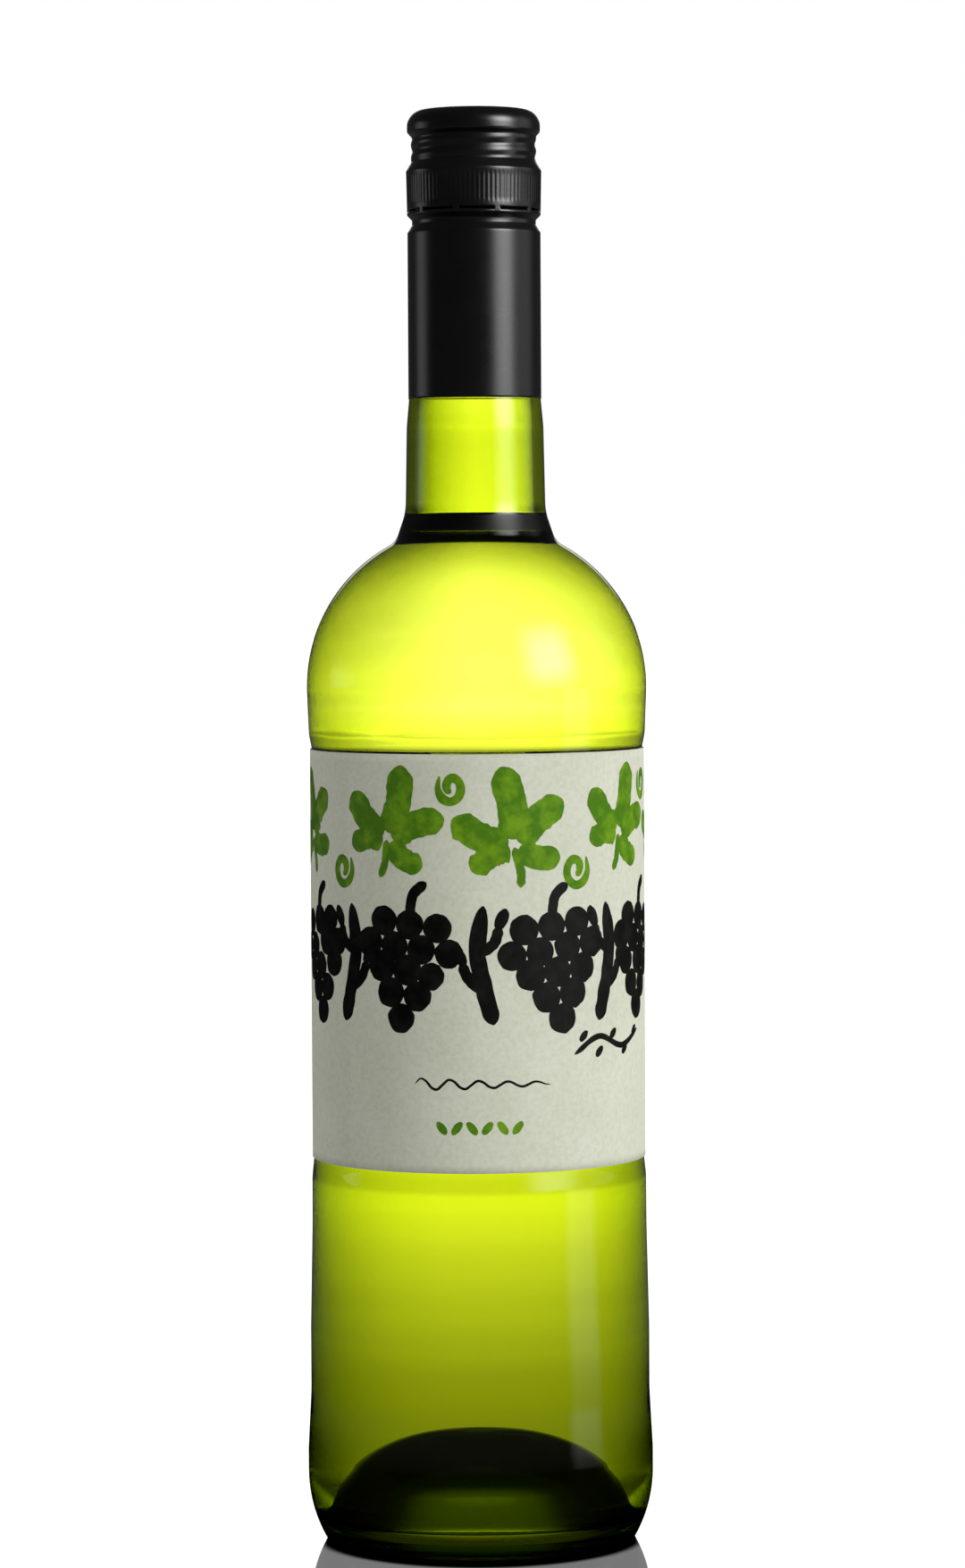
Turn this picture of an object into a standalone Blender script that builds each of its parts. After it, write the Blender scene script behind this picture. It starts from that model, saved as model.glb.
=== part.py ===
"""A 75 cl white wine bottle with a long-skirted aluminium screw cap and a wrap-round paper label.

Metres, +Z up. The origin is at the centre of the ring that the bottle stands on, and the label's
middle faces -Y. Every outline below is a list of corners (distance from the axis, height, rounding)
in millimetres, and the rounding is the radius of the arc that takes the corner off.
"""

import math

import bmesh
import bpy
from mathutils import Vector

MM = 0.001
SEGMENTS = 40
CLEARANCE = 0.3

# Driving sizes of the bottle
TOTAL_HEIGHT = 315.0
HEEL_RADIUS = 38.2
LOWER_BODY_RADIUS = 37.5
PANEL_EDGE_RADIUS = 36.95
PANEL_RADIUS = 36.3
SHOULDER_CORNER_RADIUS = 38.22
SHOULDER_ROUNDING = 35.5
NECK_FOOT_RADIUS = 17.62
NECK_FOOT_ROUNDING = 4.8
LOWER_NECK_RADIUS = 15.4
NECK_RADIUS = 15.05
NECK_UNDER_SKIRT_RADIUS = 13.9
WALL = 2.2
BORE_RADIUS = 10.6
MOUTH_BORE_RADIUS = 9.4

# The foot and the hollow pushed up into the base
FOOT_OUTER_RADIUS = 34.1
FOOT_INNER_RADIUS = 27.6
PUNT_DEPTH = 22.0
PUNT_FLOOR = 4.6
PUNT_CROWN_GLASS = 4.2
HEEL_ROUNDING = 30.0

# What is in the bottle
WINE_LEVEL = 224.4

# The label
LABEL_BOTTOM = 85.0
LABEL_TOP = 175.0
LABEL_THICKNESS = 0.3
LABEL_GAP_SEGMENTS = 2

# The aluminium closure
CAP_BOTTOM = 251.8
CAP_WALL = 0.4
CROWN_RADIUS = 14.6
CROWN_ROUNDING = 3.6
THREAD_RADIUS = 13.6
GRIP_BAND_RADIUS = 14.9
GROOVE_RADIUS = 13.6
SKIRT_RADIUS = 14.64
SLIT_HEIGHT = 292.9
SLIT_WIDTH = 0.5
SLIT_COUNT = 10
BRIDGE_DEGREES = 6.0
SLIT_STEPS = 5
SLIT_INNER_REACH = 11.5
SLIT_OUTER_REACH = 17.0

# How far a chord may stand off its arc, and the most that one chord may turn
CHORD_ERROR = 0.1
LARGEST_STEP_DEGREES = 30.0


def clear_scene():
    """Start from an empty scene."""
    for thing in list(bpy.data.objects):
        bpy.data.objects.remove(thing, do_unlink=True)


def rounded_outline(corners):
    """The points of an open outline whose corners are taken off by arcs that touch both sides."""
    points = []
    for index, (radius, height, rounding) in enumerate(corners):
        corner = Vector((radius, height))
        if rounding == 0 or index in (0, len(corners) - 1):
            points.append(corner)
            continue
        towards_last = (Vector(corners[index - 1][:2]) - corner).normalized()
        towards_next = (Vector(corners[index + 1][:2]) - corner).normalized()
        turn = math.pi - towards_last.angle(towards_next)
        start = corner + towards_last * rounding * math.tan(turn / 2)
        bisector = (towards_last + towards_next).normalized()
        centre = corner + bisector * rounding / math.cos(turn / 2)
        finest_turn = 2 * math.acos(1 - min(CHORD_ERROR / rounding, 1.0))
        steps = math.ceil(turn / min(finest_turn, math.radians(LARGEST_STEP_DEGREES)))
        side = 1 if towards_last.cross(towards_next) < 0 else -1
        for step in range(steps + 1):
            spoke = start - centre
            angle = side * turn * step / steps
            points.append(
                centre
                + Vector(
                    (
                        spoke.x * math.cos(angle) - spoke.y * math.sin(angle),
                        spoke.x * math.sin(angle) + spoke.y * math.cos(angle),
                    )
                )
            )
    return [(point.x * MM, point.y * MM) for point in points]


def add_object(name, mesh, material):
    """Link a mesh as a named object with its one material, shaded smooth but for its edges."""
    thing = bpy.data.objects.new(name, mesh)
    bpy.context.scene.collection.objects.link(thing)
    mesh.materials.append(material)
    mesh.shade_smooth()
    return thing


def principled(name, colour, roughness, metallic=0.0, transmission=0.0):
    """One Principled material."""
    material = bpy.data.materials.new(name)
    material.use_nodes = True
    shader = material.node_tree.nodes["Principled BSDF"]
    shader.inputs["Base Color"].default_value = (*colour, 1.0)
    shader.inputs["Roughness"].default_value = roughness
    shader.inputs["Metallic"].default_value = metallic
    shader.inputs["Transmission Weight"].default_value = transmission
    return material


def turned(name, outline, material):
    """A body of revolution: its outline, turned about the Z axis by a Screw modifier."""
    mesh = bpy.data.meshes.new(name)
    vertices = [(radius, 0.0, height) for radius, height in outline]
    edges = [(index, index + 1) for index in range(len(vertices) - 1)]
    mesh.from_pydata(vertices, edges, [])
    thing = add_object(name, mesh, material)
    screw = thing.modifiers.new("turn", "SCREW")
    screw.axis = "Z"
    screw.steps = SEGMENTS
    screw.render_steps = SEGMENTS
    screw.use_merge_vertices = True
    screw.merge_threshold = 0.00001
    return thing


def cavity_outline():
    """The inside of the glass, from the punt's crown out and up to the mouth."""
    wall_radius = PANEL_RADIUS - WALL
    crown = PUNT_DEPTH + PUNT_CROWN_GLASS
    return [
        (0.0, crown, 0),
        (18.0, crown, 21.0),
        (26.6, PUNT_FLOOR, 3.2),
        (wall_radius + 1.0, PUNT_FLOOR, 5.8),
        (wall_radius + 1.0, 60.0, 0),
        (wall_radius, 84.0, 0),
        (wall_radius, 180.0, 0),
        (SHOULDER_CORNER_RADIUS - WALL, 207.3, SHOULDER_ROUNDING - WALL),
        (BORE_RADIUS, 221.9, 9.0),
        (BORE_RADIUS, 245.0, 0),
        (MOUTH_BORE_RADIUS, 275.0, 0),
    ]


def glass_outline():
    """The whole wall of the bottle: up its inside, over the lip, down its outside, into the punt."""
    lip = TOTAL_HEIGHT - CAP_WALL - CLEARANCE - 0.2
    finish_radius = THREAD_RADIUS - CAP_WALL - CLEARANCE - 0.15
    bead_radius = SKIRT_RADIUS - CAP_WALL - CLEARANCE - 0.1
    finish = [
        (MOUTH_BORE_RADIUS, lip, 1.2),
        (finish_radius, lip, 1.2),
        (finish_radius, 302.6, 0),
        (bead_radius, 300.6, 0),
        (bead_radius, 295.0, 0),
        (finish_radius, 293.4, 0),
        (finish_radius, 287.4, 0),
        (NECK_UNDER_SKIRT_RADIUS, 285.6, 0),
    ]
    neck_and_shoulder = [
        (NECK_UNDER_SKIRT_RADIUS, 251.2, 0),
        (NECK_RADIUS - 0.5, 249.6, 0),
        (NECK_RADIUS, 246.0, 0),
        (LOWER_NECK_RADIUS, 227.4, 0),
        (NECK_FOOT_RADIUS, 220.5, NECK_FOOT_ROUNDING),
        (SHOULDER_CORNER_RADIUS, 208.6, SHOULDER_ROUNDING),
    ]
    body = [
        (PANEL_EDGE_RADIUS, 177.0, 0),
        (PANEL_RADIUS, 174.6, 0),
        (PANEL_RADIUS, 85.4, 0),
        (PANEL_EDGE_RADIUS, 83.0, 0),
        (PANEL_EDGE_RADIUS, 70.0, 0),
        (LOWER_BODY_RADIUS, 47.0, 0),
        (LOWER_BODY_RADIUS, 33.0, 0),
        (HEEL_RADIUS, 20.0, 0),
        (HEEL_RADIUS, 7.6, HEEL_ROUNDING),
        (FOOT_OUTER_RADIUS, 0.0, 1.4),
    ]
    punt = [
        (FOOT_INNER_RADIUS, 0.0, 6.0),
        (22.6, 11.0, 0),
        (17.0, PUNT_DEPTH, 17.0),
        (0.0, PUNT_DEPTH, 0),
    ]
    return rounded_outline(cavity_outline() + finish + neck_and_shoulder + body + punt)


def drawn_in(points, distance):
    """An open outline moved to its left by a distance, square to its own run."""
    moved = []
    for index, point in enumerate(points):
        here = Vector(point)
        runs = []
        if index > 0:
            runs.append((here - Vector(points[index - 1])).normalized())
        if index < len(points) - 1:
            runs.append((Vector(points[index + 1]) - here).normalized())
        sides = [Vector((-run.y, run.x)) for run in runs]
        middle = sum(sides, Vector((0.0, 0.0))).normalized()
        moved.append(here + middle * distance / middle.dot(sides[0]))
    return moved


def wine_outline():
    """The wine: the cavity below the fill level, drawn in by the clearance, from the top down."""
    level = WINE_LEVEL * MM
    inside = drawn_in(rounded_outline(cavity_outline()), CLEARANCE * MM)
    below = [point for point in inside[1:] if point.y < level - 0.5 * MM]
    surface_radius = (BORE_RADIUS - CLEARANCE) * MM
    return [(0.0, level), (surface_radius, level), *reversed(below), (0.0, inside[0].y)]


def cap_outline():
    """The outer face of the closure, from the middle of its top down to the skirt's edge."""
    return rounded_outline(
        [
            (0.0, TOTAL_HEIGHT, 0),
            (CROWN_RADIUS, TOTAL_HEIGHT, CROWN_ROUNDING),
            (CROWN_RADIUS, 310.2, 0),
            (THREAD_RADIUS, 307.2, 0),
            (THREAD_RADIUS + 0.35, 304.8, 0),
            (THREAD_RADIUS + 0.1, 303.4, 0),
            (GRIP_BAND_RADIUS, 301.6, 0.8),
            (SKIRT_RADIUS, 292.0, 0),
            (GROOVE_RADIUS, 290.8, 0),
            (GROOVE_RADIUS, 289.8, 0),
            (SKIRT_RADIUS, 288.1, 0),
            (SKIRT_RADIUS, CAP_BOTTOM, 0),
        ]
    )


def make_glass():
    """The bottle itself, open at its mouth."""
    material = principled("green glass", (0.55, 0.72, 0.05), 0.04, transmission=0.9)
    return turned("glass_bottle", glass_outline(), material)


def make_wine():
    """The wine, up to its level at the foot of the neck."""
    material = principled("white wine", (0.86, 0.84, 0.35), 0.02, transmission=0.9)
    return turned("wine", wine_outline(), material)


def slit_cutter():
    """Short arcs in one ring, which leave the narrow bridges that hold the tamper band."""
    shape = bmesh.new()
    span = math.radians(360.0 / SLIT_COUNT - BRIDGE_DEGREES)
    inner = SLIT_INNER_REACH * MM
    outer = SLIT_OUTER_REACH * MM
    low = (SLIT_HEIGHT - SLIT_WIDTH / 2) * MM
    high = (SLIT_HEIGHT + SLIT_WIDTH / 2) * MM
    for slit in range(SLIT_COUNT):
        middle = 2 * math.pi * (slit + 0.5) / SLIT_COUNT
        rings = []
        for step in range(SLIT_STEPS + 1):
            angle = middle - span / 2 + span * step / SLIT_STEPS
            across = Vector((math.cos(angle), math.sin(angle), 0.0))
            rings.append(
                [
                    shape.verts.new(across * inner + Vector((0, 0, low))),
                    shape.verts.new(across * outer + Vector((0, 0, low))),
                    shape.verts.new(across * outer + Vector((0, 0, high))),
                    shape.verts.new(across * inner + Vector((0, 0, high))),
                ]
            )
        for near, far in zip(rings, rings[1:]):
            for side in range(4):
                after = (side + 1) % 4
                shape.faces.new([near[side], near[after], far[after], far[side]])
        shape.faces.new(rings[0])
        shape.faces.new(list(reversed(rings[-1])))
    bmesh.ops.recalc_face_normals(shape, faces=shape.faces)
    mesh = bpy.data.meshes.new("slit_cutter")
    shape.to_mesh(mesh)
    shape.free()
    cutter = bpy.data.objects.new("slit_cutter", mesh)
    bpy.context.scene.collection.objects.link(cutter)
    cutter.hide_render = True
    cutter.display_type = "WIRE"
    return cutter


def make_cap():
    """The closure: one drawn sheet, thickened inwards, with its tamper slits cut through."""
    material = principled("black aluminium", (0.012, 0.012, 0.014), 0.3, metallic=0.6)
    cap = turned("screw_cap", cap_outline(), material)
    sheet = cap.modifiers.new("sheet", "SOLIDIFY")
    sheet.thickness = CAP_WALL * MM
    sheet.offset = -1.0
    slits = cap.modifiers.new("slits", "BOOLEAN")
    slits.object = slit_cutter()
    slits.operation = "DIFFERENCE"
    return cap


def make_label():
    """The label: one sheet round the panel, whose ends stop short of each other at the back."""
    radius = (PANEL_RADIUS + CLEARANCE) * MM
    back = SEGMENTS // 4
    steps = SEGMENTS - LABEL_GAP_SEGMENTS
    first = back + LABEL_GAP_SEGMENTS // 2
    vertices = []
    for step in range(steps + 1):
        angle = 2 * math.pi * (first + step) / SEGMENTS
        for height in (LABEL_BOTTOM, LABEL_TOP):
            vertices.append((radius * math.cos(angle), radius * math.sin(angle), height * MM))
    faces = [(2 * step, 2 * step + 2, 2 * step + 3, 2 * step + 1) for step in range(steps)]
    mesh = bpy.data.meshes.new("label")
    mesh.from_pydata(vertices, [], faces)
    label = add_object("label", mesh, principled("label paper", (0.72, 0.74, 0.62), 0.7))
    paper = label.modifiers.new("paper", "SOLIDIFY")
    paper.thickness = LABEL_THICKNESS * MM
    paper.offset = 1.0
    return label


def shade_edges(thing, degrees=40.0):
    """Keep crisp edges crisp on a round piece."""
    thing.data.set_sharp_from_angle(angle=math.radians(degrees))


def main():
    clear_scene()
    for piece in (make_glass(), make_wine(), make_cap(), make_label()):
        shade_edges(piece)


main()
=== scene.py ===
"""A 75 cl bottle of white wine with a black screw cap and a paper label, on a white table.

Lengths in the outlines are in millimetres, and MM turns them to metres. A turned piece is drawn as
corners (distance from the axis, height, rounding), where the rounding is the arc that takes the
corner off. The label's middle faces the camera, which looks along +Y. A colour is an sRGB hex
string. A tint is the share of red, green and blue light that is let through, and one number is grey.
"""

import math

import bmesh
import bpy
from mathutils import Matrix, Vector, noise


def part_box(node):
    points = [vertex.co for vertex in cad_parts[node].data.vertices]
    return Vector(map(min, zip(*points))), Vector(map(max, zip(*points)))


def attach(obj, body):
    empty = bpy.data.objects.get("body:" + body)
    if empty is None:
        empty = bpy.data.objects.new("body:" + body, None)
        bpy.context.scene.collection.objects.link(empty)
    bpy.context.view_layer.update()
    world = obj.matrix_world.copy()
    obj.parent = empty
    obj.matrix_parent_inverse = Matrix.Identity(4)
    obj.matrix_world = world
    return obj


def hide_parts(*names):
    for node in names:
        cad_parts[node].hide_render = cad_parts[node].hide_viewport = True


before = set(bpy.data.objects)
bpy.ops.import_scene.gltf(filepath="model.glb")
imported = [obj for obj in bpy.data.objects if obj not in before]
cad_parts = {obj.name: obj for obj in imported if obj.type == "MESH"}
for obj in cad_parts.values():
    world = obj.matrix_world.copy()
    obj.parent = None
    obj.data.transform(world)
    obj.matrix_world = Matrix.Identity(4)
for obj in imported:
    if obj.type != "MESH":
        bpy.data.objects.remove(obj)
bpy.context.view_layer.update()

MM = 0.001

# Sizes read from the frame
bottle_low, bottle_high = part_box("glass_bottle")
cap_low, cap_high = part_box("screw_cap")
label_low, label_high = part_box("label")
wine_low, wine_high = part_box("wine")
HEEL_RADIUS = bottle_high.x / MM
LIP_HEIGHT = bottle_high.z / MM
TOTAL_HEIGHT = cap_high.z / MM
SKIRT_EDGE = cap_low.z / MM
LABEL_RADIUS = label_high.x / MM
LABEL_BOTTOM = label_low.z / MM
LABEL_TOP = label_high.z / MM

# The wine's middle lies a little below its level in the frame, because its edge climbs the wall
WINE_LEVEL = wine_high.z / MM - 0.4

# Outside of the glass
LOWER_BODY_RADIUS = 37.5
PANEL_EDGE_RADIUS = 36.95
PANEL_RADIUS = 36.5
SHOULDER_CORNER_RADIUS = 38.22
SHOULDER_ROUNDING = 35.5
NECK_FOOT_RADIUS = 17.62
NECK_FOOT_ROUNDING = 4.2
LOWER_NECK_RADIUS = 15.4
NECK_RADIUS = 15.05
NECK_UNDER_SKIRT_RADIUS = 13.9
FINISH_RADIUS = 12.7
BEAD_RADIUS = 13.8
FOOT_OUTER_RADIUS = 34.1
FOOT_INNER_RADIUS = 27.6
PUNT_DEPTH = 22.0
GLASS_SEGMENTS = 192
LONGEST_GLASS_STEP = 3.0

# Inside of the glass
WALL = 2.4
SHOULDER_WALL = 2.0
BORE_RADIUS = 12.9
MOUTH_BORE_RADIUS = 9.4
PUNT_FLOOR = 4.6
CROWN_GLASS = 2.4
WAVES_BOTTOM = 30.0
WAVES_TOP = 215.0
SLOW_WAVE = 0.22
FINE_WAVE = 0.05

# The way that the side with painted shade faces
SHADED_SIDE = (-0.94, -0.34, 0.0)

# Heights where the painted shade on the glass over the punt starts and is darkest, and its least share there
DARKENS_FROM = 14.4
DARKEST_FROM = 18.4
LEAST_DARKNESS = 0.5

# The painted ring of shade round the neck's foot, and how far its edges fade to each side
RING_BOTTOM = 222.6
RING_TOP = 226.4
RING_FADE = 0.23

# Wine
WINE_INTO_WALL = 0.12
CAPILLARY_LENGTH = 2.2
WETTING_RISE = 2.4
MENISCUS_STEPS = 40

# Closure
SHEET = 0.28
CROWN_RADIUS = 14.6
THREAD_RADIUS = 13.75
GRIP_BAND_RADIUS = 14.86
GROOVE_RADIUS = 13.6
SKIRT_RADIUS = 14.62
CAP_SEGMENTS = 360
LONGEST_CAP_STEP = 0.45
SHORTEST_CAP_STEP = 0.02
FLUTES = 90
FLUTE_DEPTH = 0.1
FLUTES_BOTTOM = 294.2
FLUTES_TOP = 300.9
THREAD_PITCH = 2.9
THREAD_DEPTH = 0.32
THREAD_BOTTOM = 303.4
THREAD_TOP = 309.6
SLIT_HEIGHT = 292.9
SLIT_WIDTH = 0.45
SLIT_SNAP = 0.23
SLIT_INNER_RADIUS = 14.0
SLIT_COUNT = 10
BRIDGE_DEGREES = 5.0

# Label
PAPER_THICKNESS = 0.22
LABEL_GAP_DEGREES = 18.0
LABEL_STEPS = 240
LABEL_ROWS = 48
PRINT_STANDS_OFF = 0.03
PRINT_THICKNESS = 0.03
PRINT_RADIUS = LABEL_RADIUS - PRINT_THICKNESS
STROKE_COLUMNS = 4
DAB_RINGS = 4
DAB_SIDES = 28

# How far a chord may stand off its arc, and the most that one chord may turn
CHORD_ERROR = 0.004
LARGEST_STEP_DEGREES = 12.0

# Settings that several nodes share
MIXED = {"data_type": "RGBA"}
MULTIPLIED = {"data_type": "RGBA", "blend_type": "MULTIPLY"}
SMOOTH = {"interpolation_type": "SMOOTHSTEP"}
WHITE = (1.0, 1.0, 1.0, 1.0)


def linear(hex_colour):
    """A '#rrggbb' colour as linear red, green, blue and alpha."""
    channels = [int(hex_colour[place : place + 2], 16) / 255 for place in (1, 3, 5)]
    return (*[c / 12.92 if c <= 0.04045 else ((c + 0.055) / 1.055) ** 2.4 for c in channels], 1.0)


def rgba(tint):
    """A tint or a linear colour as red, green, blue and a full alpha."""
    return (tint, tint, tint, 1.0) if isinstance(tint, float) else (*tint[:3], 1.0)


def rounded_outline(corners):
    """The points of an open outline whose corners are taken off by arcs, in millimetres."""
    points = []
    for index, (radius, height, rounding) in enumerate(corners):
        corner = Vector((radius, height))
        if rounding == 0 or index in (0, len(corners) - 1):
            points.append(corner)
            continue
        towards_last = (Vector(corners[index - 1][:2]) - corner).normalized()
        towards_next = (Vector(corners[index + 1][:2]) - corner).normalized()
        turn = math.pi - towards_last.angle(towards_next)
        start = corner + towards_last * rounding * math.tan(turn / 2)
        middle = (towards_last + towards_next).normalized()
        centre = corner + middle * rounding / math.cos(turn / 2)
        step_turn = min(2 * math.acos(1 - CHORD_ERROR / rounding), math.radians(LARGEST_STEP_DEGREES))
        steps = math.ceil(turn / step_turn)
        side = 1 if towards_last.cross(towards_next) < 0 else -1
        spoke = start - centre
        for step in range(steps + 1):
            angle = side * turn * step / steps
            across = spoke.x * math.cos(angle) - spoke.y * math.sin(angle)
            up = spoke.x * math.sin(angle) + spoke.y * math.cos(angle)
            points.append(centre + Vector((across, up)))
    return points


def filled_in(points, longest):
    """The same outline with points added so that no run is longer than a length."""
    result = [points[0]]
    for before, after in zip(points, points[1:]):
        pieces = max(1, math.ceil((after - before).length / longest))
        for piece in range(1, pieces + 1):
            result.append(before.lerp(after, piece / pieces))
    return result


def drawn_out(points, distance):
    """An open outline moved to its right by a distance, square to its own run."""
    moved = []
    for index, here in enumerate(points):
        runs = []
        if index > 0:
            runs.append((here - points[index - 1]).normalized())
        if index < len(points) - 1:
            runs.append((points[index + 1] - here).normalized())
        sides = [Vector((run.y, -run.x)) for run in runs]
        middle = sum(sides, Vector((0.0, 0.0))).normalized()
        moved.append(here + middle * distance / middle.dot(sides[0]))
    return moved


def mesh_of(shape, name):
    """A new mesh from a finished shape."""
    mesh = bpy.data.meshes.new(name)
    shape.to_mesh(mesh)
    shape.free()
    return mesh


def new_piece(name, mesh, material, body="root"):
    """Link a mesh as a named piece with one material, and let it ride on its body."""
    piece = bpy.data.objects.new(name, mesh)
    bpy.context.scene.collection.objects.link(piece)
    mesh.materials.append(material)
    mesh.shade_smooth()
    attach(piece, body)
    return piece


def thicken(piece, name, thickness):
    """Give a sheet its thickness, inwards from the face that was drawn, and keep its edges crisp."""
    sheet = piece.modifiers.new(name, "SOLIDIFY")
    sheet.thickness = thickness * MM
    sheet.offset = -1.0
    piece.data.set_sharp_from_angle(angle=math.radians(50))


def turned_mesh(name, outline, segments, radius_at):
    """A surface of revolution. radius_at(radius, height, angle) may change a point's radius."""
    shape = bmesh.new()
    rings = []
    for point in outline:
        if point.x < 1e-6:
            rings.append([shape.verts.new((0.0, 0.0, point.y * MM))])
            continue
        ring = []
        for segment in range(segments):
            angle = 2 * math.pi * segment / segments
            reach = radius_at(point.x, point.y, angle) * MM
            ring.append(shape.verts.new((reach * math.cos(angle), reach * math.sin(angle), point.y * MM)))
        rings.append(ring)
    for upper, lower in zip(rings, rings[1:]):
        for segment in range(segments):
            after = (segment + 1) % segments
            if len(upper) == 1:
                shape.faces.new([upper[0], lower[segment], lower[after]])
            elif len(lower) == 1:
                shape.faces.new([upper[segment], lower[0], upper[after]])
            else:
                shape.faces.new([upper[segment], lower[segment], lower[after], upper[after]])
    return mesh_of(shape, name)


def add_node(tree, kind, settings=None, inputs=None):
    """Add a shader node with its settings, and set or link its inputs."""
    node = tree.nodes.new(kind)
    for name, value in (settings or {}).items():
        setattr(node, name, value)
    for name, value in (inputs or {}).items():
        if isinstance(value, bpy.types.NodeSocket):
            tree.links.new(value, node.inputs[name])
        else:
            node.inputs[name].default_value = value
    return node


def new_material(name):
    """An empty node material and its tree."""
    material = bpy.data.materials.new(name)
    material.use_nodes = True
    material.node_tree.nodes.clear()
    return material, material.node_tree


def ramp(tree, factor, stops, interpolation="LINEAR"):
    """The colour from a ramp with its stops as (place from 0 to 1, tint or colour), fed by a factor."""
    node = add_node(tree, "ShaderNodeValToRGB", None, {"Fac": factor})
    node.color_ramp.interpolation = interpolation
    elements = node.color_ramp.elements
    while len(elements) < len(stops):
        elements.new(0.5)
    for element, (place, colour) in zip(elements, stops):
        element.position = place
        element.color = rgba(colour)
    return node.outputs["Color"]


def ramp_over(tree, value, stops):
    """The colour from a ramp whose places are in the value's own unit, from the first to the last."""
    first, last = stops[0][0], stops[-1][0]
    share = add_node(
        tree, "ShaderNodeMapRange", None, {"Value": value, "From Min": first, "From Max": last}
    )
    places = [((place - first) / (last - first), tint) for place, tint in stops]
    return ramp(tree, share.outputs["Result"], places)


def painted_shade_at_edge(tree, facing):
    """Clear where the wall is met squarely, and painted dark olive shade where the wall is seen side-on."""
    stops = [
        (0.0, 1.0),
        (0.12, (0.97, 0.98, 0.93)),
        (0.3, (0.8, 0.83, 0.66)),
        (0.5, (0.58, 0.62, 0.36)),
        (0.7, (0.42, 0.46, 0.22)),
        (1.0, (0.13, 0.16, 0.06)),
    ]
    return ramp(tree, facing, stops)


def painted_shade_on_left(tree, place, height):
    """Painted shade on the side left of the label, darkest up the shoulder."""
    flat = add_node(tree, "ShaderNodeVectorMath", {"operation": "MULTIPLY"}, {0: place, 1: (1.0, 1.0, 0.0)})
    around = add_node(tree, "ShaderNodeVectorMath", {"operation": "NORMALIZE"}, {0: flat.outputs["Vector"]})
    toward_shaded_side = add_node(
        tree,
        "ShaderNodeVectorMath",
        {"operation": "DOT_PRODUCT"},
        {0: around.outputs["Vector"], 1: SHADED_SIDE},
    )
    up_the_shoulder = add_node(
        tree,
        "ShaderNodeMapRange",
        SMOOTH,
        {"Value": height, "From Min": 0.165, "From Max": 0.19, "To Min": 0.65, "To Max": 1.0},
    )
    how_shaded = add_node(
        tree,
        "ShaderNodeMath",
        {"operation": "MULTIPLY"},
        {0: toward_shaded_side.outputs["Value"], 1: up_the_shoulder.outputs["Result"]},
    )
    return ramp(tree, how_shaded.outputs["Value"], [(0.3, 1.0), (0.95, (0.62, 0.64, 0.46))], "EASE")


def painted_shade_neck_ring(tree, height):
    """A painted near-black ring of shade where the neck starts, and lighter painted shade on the neck above
    it.
    """
    dark = (0.0006, 0.0008, 0.0001)
    stops = [
        ((RING_BOTTOM - RING_FADE) * MM, 1.0),
        ((RING_BOTTOM + RING_FADE) * MM, dark),
        ((RING_TOP - RING_FADE) * MM, dark),
        ((RING_TOP + RING_FADE) * MM, (0.75, 0.77, 0.72)),
    ]
    return ramp_over(tree, height, stops)


def painted_shade_above_label(tree, height):
    """A painted dark line of shade along the label's top, where the glass bends in to the label's panel."""
    dark = (0.03, 0.035, 0.01)
    return ramp_over(tree, height, [(0.1728, 1.0), (0.1734, dark), (0.175, dark), (0.1762, 1.0)])


def painted_shade_at_heel(tree, height, facing):
    """Painted shade on the heel's thick bend, dark where it is seen from the side."""
    low = add_node(
        tree,
        "ShaderNodeMapRange",
        SMOOTH,
        {"Value": height, "From Min": 0.014, "From Max": 0.025, "To Min": 1.0, "To Max": 0.0},
    )
    aside = add_node(
        tree, "ShaderNodeMapRange", SMOOTH, {"Value": facing, "From Min": 0.15, "From Max": 0.45}
    )
    at_heel = add_node(
        tree,
        "ShaderNodeMath",
        {"operation": "MULTIPLY"},
        {0: low.outputs["Result"], 1: aside.outputs["Result"]},
    )
    return ramp(tree, at_heel.outputs["Value"], [(0.0, 1.0), (1.0, (0.1, 0.12, 0.04))])


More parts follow.
